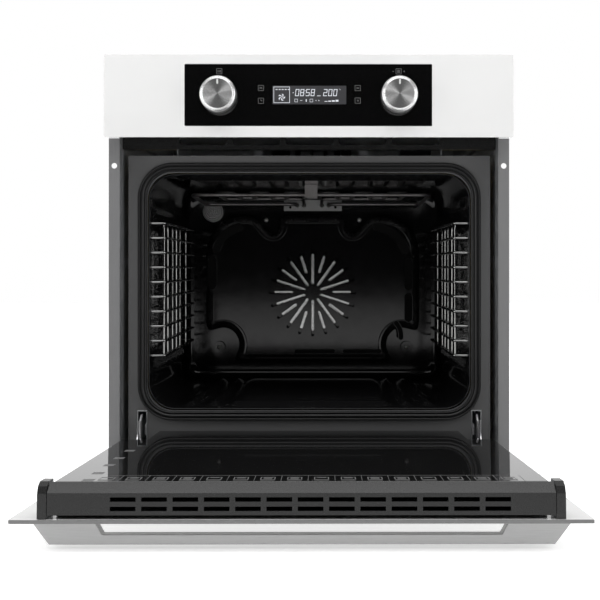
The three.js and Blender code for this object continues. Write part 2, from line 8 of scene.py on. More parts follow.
import bmesh
import bpy
import numpy as np
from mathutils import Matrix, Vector


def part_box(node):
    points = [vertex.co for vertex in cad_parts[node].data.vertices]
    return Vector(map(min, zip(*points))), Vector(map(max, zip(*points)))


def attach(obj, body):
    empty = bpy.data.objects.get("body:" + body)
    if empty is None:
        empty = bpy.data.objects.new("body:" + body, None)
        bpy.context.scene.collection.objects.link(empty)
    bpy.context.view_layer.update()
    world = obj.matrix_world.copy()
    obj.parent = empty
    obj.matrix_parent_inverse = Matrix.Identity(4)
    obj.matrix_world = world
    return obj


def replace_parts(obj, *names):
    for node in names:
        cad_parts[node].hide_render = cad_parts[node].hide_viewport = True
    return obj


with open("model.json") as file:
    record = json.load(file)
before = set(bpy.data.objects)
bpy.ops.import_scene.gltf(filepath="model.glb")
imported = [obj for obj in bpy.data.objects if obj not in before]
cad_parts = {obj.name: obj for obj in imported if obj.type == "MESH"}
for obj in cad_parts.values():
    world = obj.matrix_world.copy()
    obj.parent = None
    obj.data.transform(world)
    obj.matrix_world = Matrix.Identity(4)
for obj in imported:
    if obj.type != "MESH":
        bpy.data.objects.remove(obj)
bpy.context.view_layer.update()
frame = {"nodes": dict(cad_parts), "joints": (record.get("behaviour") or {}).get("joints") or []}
nodes = frame["nodes"]
joints = {joint["name"]: joint for joint in frame["joints"]}

# --- Casing -------------------------------------------------------------------------------------------
# The carcase is folded from zinc-coated sheet steel: base, sides, top, back and the cooling duct.
# The sheets are cut, folded and spot-welded, and their skin shows large, faint zinc crystals.


class Tone:
    """One output socket in a material; arithmetic on it adds Math nodes."""

    def __init__(self, tree, socket):
        self.tree = tree
        self.socket = socket

    def make(self, kind, values=None, out=0, stops=None, **settings):
        """Any other node: its settings first, then the values or links of its sockets."""
        node = self.tree.nodes.new("ShaderNode" + kind)
        for key, value in settings.items():
            setattr(node, key, value)
        for index, (place, grey) in enumerate(stops or ()):
            band = node.color_ramp.elements
            stop = band[index] if index < len(band) else band.new(place)
            stop.position = place
            stop.color = (grey, grey, grey, 1)
        for key, value in (values or {}).items():
            feed(self.tree, node.inputs[key], value)
        return Tone(self.tree, node.outputs[out])

    def maths(self, operation, *values):
        return self.make("Math", dict(enumerate(values)), operation=operation)

    def __add__(self, other):
        return self.maths("ADD", self, other)

    def __radd__(self, other):
        return self.maths("ADD", other, self)

    def __sub__(self, other):
        return self.maths("SUBTRACT", self, other)

    def __rsub__(self, other):
        return self.maths("SUBTRACT", other, self)

    def __mul__(self, other):
        return self.maths("MULTIPLY", self, other)

    def __rmul__(self, other):
        return self.maths("MULTIPLY", other, self)

    def __truediv__(self, other):
        return self.maths("DIVIDE", self, other)

    def __gt__(self, other):
        return self.maths("GREATER_THAN", self, other)

    def __lt__(self, other):
        return self.maths("LESS_THAN", self, other)

    def noise(self, scale, detail=3.0, rough=0.55):
        values = {"Vector": self, "Scale": scale, "Detail": detail, "Roughness": rough}
        return self.make("TexNoise", values, out="Fac")

    def stretched(self, x, y, z):
        """The coordinates with each axis multiplied, so that a pattern runs along the smallest."""
        return self.make("Mapping", {"Vector": self, "Scale": (x, y, z)})

    def turned(self, degrees, centre=(0, 0, 0)):
        """The coordinates turned about the X axis, then moved."""
        values = {"Vector": self, "Rotation": (math.radians(degrees), 0, 0), "Location": centre}
        return self.make("Mapping", values)

    def axis(self, index):
        return self.make("SeparateXYZ", {"Vector": self}, out=index)

    def bump(self, strength, distance=0.001):
        return self.make("Bump", {"Height": self, "Strength": strength, "Distance": distance}, out="Normal")

    def between(self, low, high):
        """The two colours mixed by this value."""
        factor, first, second, result = 0, 6, 7, 2
        values = {factor: self, first: (*low, 1), second: (*high, 1)}
        return self.make("Mix", values, out=result, data_type="RGBA")

    def spread(self, low, high):
        """This 0 to 1 value moved to the range low to high."""
        return self * (high - low) + low


def feed(tree, socket, value):
    if isinstance(value, Tone):
        tree.links.new(value.socket, socket)
    else:
        socket.default_value = value


def finish(name, fixed, varied=None):
    """A material: fixed values go on the shader's own sockets, varied(coordinates) gives the rest."""
    material = bpy.data.materials.new(name)
    material.use_nodes = True
    tree = material.node_tree
    shader = tree.nodes["Principled BSDF"]
    for key, value in fixed.items():
        shader.inputs[key].default_value = (*value, 1) if isinstance(value, tuple) else value
    place = tree.nodes.new("ShaderNodeTexCoord")
    for key, value in (varied(Tone(tree, place.outputs["Object"])) if varied else {}).items():
        feed(tree, shader.inputs[key], value)
    return material


def dress(material, *names):
    """A CAD node keeps its mesh and takes this material."""
    for name in names:
        slots = nodes[name].data.materials
        slots.clear()
        slots.append(material)


def both(*names):
    return [f"{name}_{side}" for name in names for side in ("left", "right")]


def zinc_crystals(at):
    cells = at.make("TexVoronoi", {"Vector": at, "Scale": 90.0, "Randomness": 1.0}, out="Distance")
    cloud = at.noise(14.0)
    return {
        "Base Color": (cells * 0.6 + cloud * 0.5).between((0.36, 0.37, 0.385), (0.52, 0.53, 0.54)),
        "Roughness": cells.spread(0.3, 0.5) + cloud * 0.08,
        "Normal": at.noise(700.0).bump(0.08, 0.0004),
    }


zinc = finish("zinc_coated_sheet", {"Metallic": 0.85}, zinc_crystals)
dress(zinc, "base_plate", "top_cover", "rear_cover", "air_duct", "blower_housing")
dress(zinc, *both("side_panel", "hinge_receiver"))


def wool_fibres(at):
    fibres = at.stretched(1, 4, 4).noise(160.0, 8.0, 0.7)
    return {
        "Base Color": fibres.between((0.3, 0.23, 0.1), (0.78, 0.68, 0.42)),
        "Normal": fibres.bump(0.8, 0.003),
    }


def board_copper(at):
    tracks = at.make("TexBrick", {"Vector": at.turned(90), "Scale": 60.0, "Mortar Size": 0.02}, out="Fac")
    return {
        "Base Color": tracks.between((0.012, 0.09, 0.04), (0.03, 0.2, 0.09)),
        "Normal": tracks.bump(0.3, 0.0003),
    }


def motor_winding(at):
    turns = at.stretched(1, 60, 1).noise(30.0)
    return {
        "Base Color": turns.between((0.2, 0.2, 0.21), (0.55, 0.55, 0.57)),
        "Roughness": turns.spread(0.3, 0.5),
    }


dress(finish("glass_wool", {"Roughness": 0.95}, wool_fibres), "insulation")
dress(finish("board_lacquer", {"Roughness": 0.35}, board_copper), "control_board")
motor_metal = finish("motor_metal", {"Metallic": 0.9}, motor_winding)
dress(motor_metal, "fan_motor", "blower_motor", "function_encoder", "temperature_encoder")

# --- Mounting flanges and front frame -----------------------------------------------------------------
# The flanges are satin steel strips, screwed to the niche through one hole each.
# The front frame is one pressed sheet in grey stove enamel, welded round the mouth of the cavity.


def rolled_grain(at):
    grain = at.stretched(60, 60, 1.2).noise(40.0)
    return {
        "Base Color": grain.between((0.15, 0.15, 0.152), (0.2, 0.2, 0.203)),
        "Roughness": grain.spread(0.38, 0.52),
        "Normal": grain.bump(0.05, 0.0003),
    }


def enamel_peel(at):
    speck = at.noise(2600.0, 1.0)
    wave = at.noise(130.0)
    return {
        "Base Color": speck.between((0.075, 0.075, 0.076), (0.1, 0.1, 0.101)),
        "Roughness": wave.spread(0.34, 0.46),
        "Normal": (wave + speck * 0.2).bump(0.06, 0.0006),
    }


dress(finish("flange_steel", {"Metallic": 0.25}, rolled_grain), *both("mounting_flange"))
grey_enamel = finish("grey_stove_enamel", {}, enamel_peel)
dress(grey_enamel, "front_frame")


def mesh_piece(name, points, faces, material, body, smooth=True):
    """A new piece from a flat list of points and its faces, all in place in the row frame."""
    mesh = bpy.data.meshes.new(name)
    mesh.from_pydata(np.asarray(points, float).reshape(-1, 3).tolist(), [], faces)
    mesh.polygons.foreach_set("use_smooth", [smooth] * len(mesh.polygons))
    mesh.validate()
    mesh.materials.append(material)
    piece = bpy.data.objects.new(name, mesh)
    bpy.context.scene.collection.objects.link(piece)
    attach(piece, body)
    return piece


def quads(rows, columns, ring, wrap=False):
    """Faces of a grid of points; ring closes each row on itself, wrap joins the last row to the first."""
    i, j = np.meshgrid(np.arange(rows - (not wrap)), np.arange(columns - (not ring)), indexing="ij")
    after, beside = (i + 1) % rows, (j + 1) % columns
    corners = [i * columns + j, i * columns + beside, after * columns + beside, after * columns + j]
    return np.stack(corners, -1).reshape(-1, 4).tolist()


def turn_outwards(piece):
    """A closed shell whose volume comes out negative has its faces flipped."""
    mesh = piece.data
    mesh.calc_loop_triangles()
    points = np.empty(len(mesh.vertices) * 3)
    mesh.vertices.foreach_get("co", points)
    corners = np.empty(len(mesh.loop_triangles) * 3, int)
    mesh.loop_triangles.foreach_get("vertices", corners)
    a, b, c = points.reshape(-1, 3)[corners.reshape(-1, 3)].transpose(1, 0, 2)
    if np.einsum("ij,ij->i", a, np.cross(b, c)).sum() < 0:
        mesh.flip_normals()
    return piece


def lofted(name, rings, material, body, smooth=True, sharp=35):
    """A closed shell through a stack of rings (rows, columns, 3), with a flat cap on each end."""
    rings = np.asarray(rings, float)
    rows, columns = rings.shape[:2]
    last = (rows - 1) * columns
    faces = quads(rows, columns, True) + [list(range(columns))[::-1], list(range(last, last + columns))]
    piece = mesh_piece(name, rings, faces, material, body, smooth)
    turn_outwards(piece)
    piece.data.set_sharp_from_angle(angle=math.radians(sharp))
    return piece


def rounded(x0, x1, z0, z1, r, steps=10):
    """A rectangle with round corners, anticlockwise: each corner is a quarter circle of radius r."""
    quarter = np.linspace(0, math.pi / 2, steps)
    centres = [(x1 - r, z0 + r, -1), (x1 - r, z1 - r, 0), (x0 + r, z1 - r, 1), (x0 + r, z0 + r, 2)]
    arcs = [
        np.stack([x + r * np.cos(quarter + k * math.pi / 2), z + r * np.sin(quarter + k * math.pi / 2)], 1)
        for x, z, k in centres
    ]
    return np.concatenate(arcs)


def upright(outline, y):
    """An (x, z) outline stood up at the depth y."""
    return np.stack([outline[:, 0], np.full(len(outline), y), outline[:, 1]], 1)


# --- Door seal ----------------------------------------------------------------------------------------
# A hollow rubber profile runs round the mouth of the cavity, with a fine lip and two soft ribs.
# It is clipped into the front frame at its corners, and the inner pane presses on it.


def rubber_dust(at):
    dust = at.noise(900.0, 2.0)
    return {
        "Base Color": dust.between((0.006, 0.006, 0.0063), (0.012, 0.012, 0.0125)),
        "Roughness": dust.spread(0.3, 0.42),
        "Normal": dust.bump(0.06, 0.0003),
    }


rubber = finish("seal_rubber", {"Specular IOR Level": 0.3}, rubber_dust)
seal_low, seal_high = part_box("door_gasket")
seal_x = seal_high.x
seal_wide = 0.0133
seal_corner = 0.052
seal_depth = seal_high.y - seal_low.y
# Its section, as shares of the width (from outside inwards) and of the depth (from the lip backwards).
seal_profile = [(0, 1), (0, 0.45), (0.08, 0.2), (0.2, 0.16), (0.27, 0.5), (0.34, 0.55), (0.42, 0.18),
                (0.52, 0.0), (0.63, 0.02), (0.71, 0.45), (0.78, 0.5), (0.85, 0.12), (0.95, 0.1),
                (1, 0.5), (1, 1)]


def seal_ring(u, v):
    """The seal's outline moved in by the share u of its width, at the share v of its depth."""
    inward = seal_wide * u
    outline = rounded(-seal_x + inward, seal_x - inward, seal_low.z + inward, seal_high.z - inward,
                      seal_corner - inward, 16)
    return upright(outline, seal_low.y + seal_depth * v)


seal_rings = [seal_ring(u, v) for u, v in seal_profile]
seal_faces = quads(len(seal_rings), len(seal_rings[0]), True, wrap=True)
seal = mesh_piece("door_seal", np.array(seal_rings), seal_faces, rubber, "carcase")
turn_outwards(seal)
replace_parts(seal, "door_gasket")

# --- Cavity -------------------------------------------------------------------------------------------
# One welded steel box in black gloss enamel, with wide round corners at its mouth and tight ones at
# the back. Long beads pressed into floor, roof and walls stiffen it and carry the base heat.


def gloss_enamel(at):
    wave = at.noise(55.0, 2.0)
    speck = at.noise(3200.0, 0.0)
    return {
        "Base Color": speck.between((0.004, 0.004, 0.0042), (0.009, 0.009, 0.0094)),
        "Roughness": wave.spread(0.06, 0.13),
        "Normal": (wave + speck * 0.02).bump(0.04, 0.0006),
    }


enamel = finish("black_gloss_enamel", {"Specular IOR Level": 0.34}, gloss_enamel)
mouth_low, mouth_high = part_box("cavity_liner")
wall = 0.001
half_cavity = mouth_high.x - wall
floor_z, roof_z = mouth_low.z + wall, mouth_high.z - wall
mouth_y, back_y = mouth_low.y, mouth_high.y - wall


def beads(at, centres, width, height, run):
    """Sum of round ridges: each is height times a raised cosine across its width, faded along by run."""
    across = np.clip(np.abs(at[..., None] - np.array(centres)) / width, 0, 1)
    return (height * 0.5 * (1 + np.cos(math.pi * across)) * (across < 1)).sum(-1) * run


back_round = 0.016
mouth_corner, back_corner = 0.039, 0.019
wall_points, span_points, corner_points = 40, 70, 12
bend_y = back_y - back_round
quarter = np.linspace(0, math.pi / 2, 9)[1:]
depths = np.concatenate([np.linspace(mouth_y, bend_y, 70), bend_y + back_round * np.sin(quarter)])
section = []
for y in depths:
    along = (y - mouth_y) / (back_y - mouth_y)
    tuck = max(0.0, (y - bend_y) / back_round)
    inset = back_round * (1 - math.sqrt(max(0.0, 1 - tuck * tuck)))
    radius = mouth_corner + (back_corner - mouth_corner) * along
    corners = rounded(-half_cavity + inset, half_cavity - inset, floor_z + inset, roof_z - inset, radius,
                      corner_points)
    stretch = []
    for corner, count in enumerate((wall_points, span_points, wall_points, span_points)):
        first = corner * corner_points
        last = first + corner_points - 1
        a, b = corners[last], corners[(last + 1) % len(corners)]
        share = np.linspace(0, 1, count)[1:-1, None]
        stretch.append(np.concatenate([corners[first:last + 1], a + (b - a) * share]))
    ring = np.concatenate(stretch)
    fade = np.clip(min(y - mouth_y - 0.022, back_y - 0.03 - y) / 0.02, 0, 1)
    flat = np.abs(ring[:, 0]) < half_cavity - radius
    low, high = ring[:, 1] < floor_z + 0.005, ring[:, 1] > roof_z - 0.005
    spread = 1 - 0.12 * along
    lift = beads(ring[:, 0] / spread, [-0.185, -0.15, 0.15, 0.185], 0.01, 0.006, fade)
    plateau = 0.005 * np.clip((0.125 - np.abs(ring[:, 0])) / 0.01, 0, 1) * fade
    ring[:, 1] += np.where(low & flat, lift + plateau, 0)
    roof_bead = beads(ring[:, 0] * 0 + y, [mouth_y + 0.03, mouth_y + 0.055], 0.011, 0.005, 1)
    ring[:, 1] -= np.where(high & flat, roof_bead, 0)
    side = (np.abs(ring[:, 0]) > half_cavity - 0.002) & (inset < 0.001)
    band = beads(ring[:, 1], [floor_z + 0.052, roof_z - 0.052], 0.016, 0.0032, fade)
    ring[:, 0] -= np.sign(ring[:, 0]) * np.where(side, band, 0)
    section.append(upright(ring, y))
section = np.array(section)
middle = section[-1].mean(0)
back_steps = [section[-1] + (middle - section[-1]) * t for t in (0.08, 0.3, 0.6, 0.9)]
inner_rows = np.concatenate([section, back_steps])
liner_faces = quads(len(inner_rows), len(inner_rows[0]), True)
last_row = (len(inner_rows) - 1) * len(inner_rows[0])
liner_faces.append(list(range(last_row, last_row + len(inner_rows[0]))))
liner = mesh_piece("cavity", inner_rows, liner_faces, enamel, "carcase")
rim = liner.modifiers.new("sheet", "SOLIDIFY")
rim.thickness = wall
liner.data.calc_loop_triangles()
halfway_row = 35
wall_face = liner.data.polygons[halfway_row * len(section[0]) + 5]
inside_cavity = Vector((0, 0, 0.25))
if wall_face.normal.dot(inside_cavity - wall_face.center) <= 0:
    liner.data.flip_normals()
rim.offset = -1
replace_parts(liner, "cavity_liner")

# --- Fan cover ----------------------------------------------------------------------------------------
# A pressed pan in the same enamel covers the convection fan. Four screws hold it down in round bays
# pressed into its edge. Twenty slots round the middle draw air in, and long slots at its rim blow it out.


def bitten(outline, bites, middle):
    """Points of the outline that lie in a bite slide towards the middle until they leave its circle."""
    points = outline.copy()
    for x, z, r in bites:
        gap = points - (x, z)
        inside = (gap ** 2).sum(1) < r * r
        way = np.array(middle) - points
        way /= np.linalg.norm(way, axis=1, keepdims=True)
        b = (gap * way).sum(1)
        c = (gap ** 2).sum(1) - r * r
        reach = -b + np.sqrt(np.maximum(b * b - c, 0))
        points = np.where(inside[:, None], points + way * reach[:, None], points)
    return points


def evened(points, count, passes):
    """The closed outline at equal steps of length, each point then averaged with its neighbours."""
    loop = np.concatenate([points, points[:1]])
    length = np.concatenate([[0], np.cumsum(np.linalg.norm(np.diff(loop, axis=0), axis=1))])
    at = np.linspace(0, length[-1], count, endpoint=False)
    even = np.stack([np.interp(at, length, loop[:, k]) for k in (0, 1)], 1)
    for _ in range(passes):
        even = 0.5 * even + 0.25 * (np.roll(even, 1, 0) + np.roll(even, -1, 0))
    return even


def inset_by(points, distance):
    """Each point moved along the outline's inward normal."""
    along = np.roll(points, -1, 0) - np.roll(points, 1, 0)
    normal = np.stack([-along[:, 1], along[:, 0]], 1)
    return points + distance * normal / np.linalg.norm(normal, axis=1, keepdims=True)


def stadium(x0, z0, x1, z1, width, steps=7):
    """A straight slot with round ends from one point to the other."""
    heading = math.atan2(z1 - z0, x1 - x0)
    half = np.linspace(-math.pi / 2, math.pi / 2, steps)
    far = np.stack([x1 + width / 2 * np.cos(heading + half), z1 + width / 2 * np.sin(heading + half)], 1)
    near = np.stack([x0 - width / 2 * np.cos(heading + half), z0 - width / 2 * np.sin(heading + half)], 1)
    return np.concatenate([far, near])


def arc_slot(x, z, radius, start, stop, width, steps=14):
    """A slot bent round a centre, with round ends, between two angles in degrees."""
    turn = np.radians(np.linspace(start, stop, steps))
    outer = np.stack([x + (radius + width / 2) * np.cos(turn), z + (radius + width / 2) * np.sin(turn)], 1)
    inner = np.stack([x + (radius - width / 2) * np.cos(turn), z + (radius - width / 2) * np.sin(turn)], 1)
    cap = np.linspace(0, math.pi, 7)[1:-1]
    ends = []
    for angle, way in ((turn[-1], 1), (turn[0], -1)):
        centre = np.array([x + radius * np.cos(angle), z + radius * np.sin(angle)])
        swing = angle + cap if way > 0 else angle + math.pi + cap
        ends.append(centre + width / 2 * np.stack([np.cos(swing), np.sin(swing)], 1))
    return np.concatenate([outer, ends[0], inner[::-1], ends[1]])


def pierced(name, outlines, front, thick, edge, material, body, place=upright):
    """A flat plate from an outer outline and its holes, with a small round edge all round."""
    data = bpy.data.curves.new(name, "CURVE")
    data.dimensions = "2D"
    data.fill_mode = "BOTH"
    data.extrude = thick / 2 - edge
    data.bevel_depth = edge
    data.bevel_resolution = 1
    data.offset = -edge
    for outline in outlines:
        spline = data.splines.new("POLY")
        spline.points.add(len(outline) - 1)
        flat = np.zeros((len(outline), 4))
        flat[:, :2] = outline
        spline.points.foreach_set("co", flat.ravel())
        spline.use_cyclic_u = True
    shape = bpy.data.objects.new(name + "_outline", data)
    bpy.context.scene.collection.objects.link(shape)
    mesh = bpy.data.meshes.new_from_object(shape.evaluated_get(bpy.context.evaluated_depsgraph_get()))
    bpy.data.objects.remove(shape)
    flat = np.empty(len(mesh.vertices) * 3)
    mesh.vertices.foreach_get("co", flat)
    flat = flat.reshape(-1, 3)
    points = place(flat[:, :2], front + thick / 2 - flat[:, 2])
    faces = [list(polygon.vertices) for polygon in mesh.polygons]
    piece = mesh_piece(name, points, faces, material, body, smooth=False)
    welded(piece)
    return piece


def welded(piece):
    """Doubles merged and faces turned outwards."""
    shell = bmesh.new()
    shell.from_mesh(piece.data)
    bmesh.ops.remove_doubles(shell, verts=shell.verts, dist=0.00001)
    bmesh.ops.recalc_face_normals(shell, faces=shell.faces)
    shell.to_mesh(piece.data)
    shell.free()


cover_low, cover_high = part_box("fan_cover")
fan_at = Vector(joints["fan_spin"]["pos_m"])
screw_spots = [(-0.0885, 0.3785), (0.0885, 0.3785), (-0.1775, 0.1375), (0.1775, 0.1375)]
# Each bay that is pressed into the pan's edge: the x and z of its centre, and its radius.
screw_bays = [(-0.087, 0.371, 0.026), (0.087, 0.371, 0.026), (-0.172, 0.1435, 0.034), (0.172, 0.1435, 0.034)]
base_outline = rounded(cover_low.x, cover_high.x, cover_low.z, cover_high.z, 0.07, 40)
cover_middle = (0, (cover_low.z + cover_high.z) / 2)
cover_edge = evened(bitten(evened(base_outline, 900, 0), screw_bays, cover_middle), 480, 30)
cover_edge = inset_by(cover_edge, 0.0015)
shoulder = 0.016
slot_count, slot_outer, long_inner, short_inner, slot_wide = 20, 0.0795, 0.017, 0.0395, 0.0052
radial = []
for k in range(slot_count):
    angle = 2 * math.pi * k / slot_count
    heading = np.array([math.sin(angle), math.cos(angle)])
    start, stop = heading * (short_inner if k % 2 else long_inner), heading * slot_outer
    radial.append(stadium(start[0], fan_at.z + start[1], stop[0], fan_at.z + stop[1], slot_wide))
left_x, right_x = cover_low.x + 0.013, cover_high.x - 0.022
rim_slots = [
    stadium(left_x, fan_at.z + 0.014, left_x, fan_at.z + 0.06, 0.015),
    stadium(right_x, fan_at.z + 0.012, right_x, fan_at.z + 0.058, 0.0145),
    stadium(right_x, fan_at.z - 0.048, right_x, fan_at.z - 0.008, 0.0145),
    stadium(-0.03, 0.1312, 0.038, 0.1312, 0.0062),
    stadium(0.06, 0.1312, 0.126, 0.1312, 0.0062),
    arc_slot(-0.128, 0.309, 0.0545, 100, 166, 0.0145),
    arc_slot(0.112, 0.3, 0.0655, 18, 82, 0.0145),
    arc_slot(0.13, 0.16, 0.036, -5, 42, 0.008),
]
pan_face = pierced("fan_cover_face", [inset_by(cover_edge, shoulder)] + radial, cover_low.y, 0.001, 0.0002,
                   enamel, "carcase")
pan_bend = 0.0055
pan_rows = []
for angle in np.linspace(0, math.pi / 2, 14):
    shrink = inset_by(cover_edge, shoulder * (1 - math.sin(angle)))
    pan_rows.append(upright(shrink, cover_low.y + pan_bend * (1 - math.cos(angle))))
outer_edge = pan_rows[-1]
for depth in (0.009, 0.014, 0.02, cover_high.y - cover_low.y):
    pan_rows.append(outer_edge + (0, depth - pan_bend, 0))
pan_faces = quads(len(pan_rows), len(cover_edge), True)
pan_rim = mesh_piece("fan_cover_rim", np.array(pan_rows), pan_faces, enamel, "carcase")
welded(pan_rim)
rim_sheet = pan_rim.modifiers.new("sheet", "SOLIDIFY")
rim_sheet.thickness = 0.0009
rim_sheet.offset = -1
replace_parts(pan_face, "fan_cover")
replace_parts(pan_rim, "fan_cover")
# Painted shadow: the pan is not cut at its rim slots; a thin near-black sheet in each outline stands for the
# shade inside the opening.
slot_shadow_paint = finish("painted_slot_shadow", {"Roughness": 0.9, "Base Color": (0.002, 0.002, 0.002)})
for index, outline in enumerate(rim_slots):
    pierced(f"cover_slot_{index}", [inset_by(outline, -0.0012), outline], cover_low.y - 0.0004, 0.0012,
            0.0003, enamel, "carcase")
    pierced(f"cover_gap_{index}", [outline], cover_low.y - 0.00015, 0.0004, 0.0001, slot_shadow_paint, "carcase")
steel_screw = finish("zinc_screw", {"Metallic": 1.0, "Roughness": 0.32, "Base Color": (0.42, 0.42, 0.41)})


def screw_head(name, centre, facing, radius, height, body):
    """A domed head with a cross recess: radius r(t) = R sin t, height h(t) = H cos t, sunk along two bars."""
    turn = np.linspace(0, 2 * math.pi, 48, endpoint=False)
    t = np.concatenate([[0.03], np.linspace(0.06, math.pi / 2, 14)])
    r = radius * np.sin(t)[:, None] * np.ones_like(turn)
    rise = height * np.cos(t)[:, None] * np.ones_like(turn)
    p, q = r * np.cos(turn), r * np.sin(turn)
    cross = np.minimum(np.abs(p), np.abs(q)) < radius * 0.14
    cross &= np.maximum(np.abs(p), np.abs(q)) < radius * 0.55
    rise = rise - np.where(cross, height * 0.75, 0)
    rise = np.concatenate([rise, rise[-1:] - 0.0004])
    p, q = np.concatenate([p, p[-1:]]), np.concatenate([q, q[-1:]])
    out = np.array(facing, float)
    side = np.cross(out, (0, 0, 1)) if abs(out[2]) < 0.5 else np.array((1.0, 0, 0))
    up = np.cross(side, out)
    rings = np.array(centre) + p[..., None] * side + q[..., None] * up + rise[..., None] * out
    return lofted(name, rings, steel_screw, body, sharp=30)


for index, (x, z) in enumerate(screw_spots):
    screw_head(f"cover_screw_{index}", (x, cover_low.y + 0.019, z), (0, -1, 0), 0.0042, 0.0024, "carcase")
    bay = rounded(x - 0.011, x + 0.011, z - 0.011, z + 0.011, 0.011, 8)
    pierced(f"cover_bay_{index}", [bay], cover_low.y + 0.0192, 0.001, 0.0003, enamel, "carcase")

# --- Lamp and sensor ----------------------------------------------------------------------------------
# A ribbed cap of pressed glass screws over the oven lamp, and its rings spread the light.
# Light and dark rings are painted in its colour for the shade and highlights of those ribs.
# The sensor is a thin steel rod that comes through the back wall.


def glass_with_painted_rings(at):
    low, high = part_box("lamp_glass")
    middle = (low + high) / 2
    centred = at.make("Mapping", {"Vector": at, "Location": (-middle.x, 0, -middle.z)})
    # Painted shade and highlight: rings of dark and light colour stand for how the ribs catch the light.
    rings = centred.make("TexWave", {"Vector": centred, "Scale": 95.0, "Distortion": 0.3}, out="Fac",
                         wave_type="RINGS", rings_direction="Y")
    wave = at.noise(220.0)
    return {
        "Base Color": rings.between((0.12, 0.12, 0.12), (0.75, 0.75, 0.75)),
        "Roughness": wave.spread(0.06, 0.2),
        "Normal": wave.bump(0.1, 0.0004),
    }


def heat_blued(at):
    cloud = at.noise(28.0)
    fine = at.noise(900.0, 2.0)
    return {
        "Base Color": (cloud * 1.1).between((0.1, 0.088, 0.08), (0.25, 0.245, 0.25)),
        "Roughness": fine.spread(0.3, 0.5),
    }


cap_glass = finish("lamp_cap_glass", {"Transmission Weight": 0.15, "IOR": 1.5}, glass_with_painted_rings)
cap_low, cap_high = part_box("lamp_glass")
cap_x, cap_z = (cap_low.x + cap_high.x) / 2, (cap_low.z + cap_high.z) / 2
cap_r = (cap_high.x - cap_low.x) / 2
cap_skirt, rib_height, rib_count = 0.003, 0.0011, 6


def turned_rings(x, z, radii, depths, around):
    """Rings about a line along Y through (x, z): each point is (x + r cos a, its depth, z + r sin a)."""
    a = np.linspace(0, 2 * math.pi, around, endpoint=False)
    r = np.asarray(radii)[:, None]
    y = np.broadcast_to(np.asarray(depths)[:, None], (len(r), around))
    return np.stack([x + r * np.cos(a), y, z + r * np.sin(a)], -1)


share = np.linspace(0.02, 1, 60)
ribs = rib_height * (1 - np.cos(share * rib_count * 2 * math.pi)) * (share < 0.92)
dome = (cap_high.y - cap_low.y - cap_skirt) * (1 - np.sqrt(np.maximum(0, 1 - share ** 3.2)))
cap_rows = turned_rings(cap_x, cap_z, np.append(cap_r * share, cap_r),
                        np.append(cap_low.y + ribs + dome, cap_high.y), 72)
lamp_cap = lofted("lamp_cap", cap_rows, cap_glass, "carcase")
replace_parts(lamp_cap, "lamp_glass")
heat_steel = finish("heat_tinted_steel", {"Metallic": 0.8}, heat_blued)
dress(heat_steel, "temperature_sensor", "ring_heater", "bottom_heater", "grill_clip")


def bright_blades(at):
    cloud = at.noise(70.0)
    return {
        "Base Color": cloud.between((0.55, 0.55, 0.55), (0.75, 0.75, 0.74)),
        "Roughness": cloud.spread(0.15, 0.3),
    }


dress(finish("bright_fan_steel", {"Metallic": 1.0}, bright_blades), "fan_rotor")
dress(finish("bulb_glass", {"Transmission Weight": 0.9, "Roughness": 0.05}), "lamp_bulb")
dress(zinc, "lamp_housing")


def plate_steel(at):
    grain = at.stretched(1, 40, 40).noise(50.0)
    return {
        "Base Color": grain.between((0.2, 0.2, 0.2), (0.32, 0.32, 0.315)),
        "Roughness": grain.spread(0.35, 0.5),
    }


dress(finish("terminal_plate_steel", {"Metallic": 0.5}, plate_steel), "grill_terminal_plate")

# --- Side racks ---------------------------------------------------------------------------------------
# Chromed wire, welded. Ten rungs a side hook into the wall and bend inwards, where the trays slide,
# and upright hoops tie them together.


def bent(corners, bend, steps=7):
    """A path through corner points; each corner becomes a quadratic curve, (1-t)^2 A + 2t(1-t) P + t^2 B."""
    corners = np.array(corners, float)
    t = np.linspace(0, 1, steps)[:, None]
    path = [corners[:1]]
    for before, here, after in zip(corners[:-2], corners[1:-1], corners[2:]):
        first = here + (before - here) / np.linalg.norm(before - here) * bend
        last = here + (after - here) / np.linalg.norm(after - here) * bend
        path.append((1 - t) ** 2 * first + 2 * t * (1 - t) * here + t ** 2 * last)
    return np.concatenate(path + [corners[-1:]])


def rods(name, paths, radius, material, body, around=14):
    """Round rods along the paths: each ring is P + r (U cos a + V sin a), U kept from ring to ring."""
    angle = np.linspace(0, 2 * math.pi, around, endpoint=False)
    points, faces = [], []
    for path in paths:
        along = np.gradient(path, axis=0)
        along /= np.linalg.norm(along, axis=1, keepdims=True)
        u = np.cross(along[0], (0.31, 0.47, 0.83))
        rings = []
        for place, forward in zip(path, along):
            u = u - forward * u.dot(forward)
            u /= np.linalg.norm(u)
            v = np.cross(forward, u)
            rings.append(place + radius * (np.outer(np.cos(angle), u) + np.outer(np.sin(angle), v)))
        first = sum(len(part) for part in points)
        points.append(np.concatenate(rings))
        grid = np.array(quads(len(path), around, True)) + first
        last = first + (len(path) - 1) * around
        faces += grid.tolist()
        faces += [list(range(first, first + around)), list(range(last, last + around))[::-1]]
    piece = mesh_piece(name, np.concatenate(points), faces, material, body)
    welded(piece)
    piece.data.set_sharp_from_angle(angle=math.radians(50))
    return piece


def chrome_sheen(at):
    cloud = at.noise(60.0)
    return {
        "Roughness": cloud.spread(0.08, 0.2),
        "Base Color": cloud.between((0.2, 0.2, 0.2), (0.3, 0.3, 0.295)),
    }


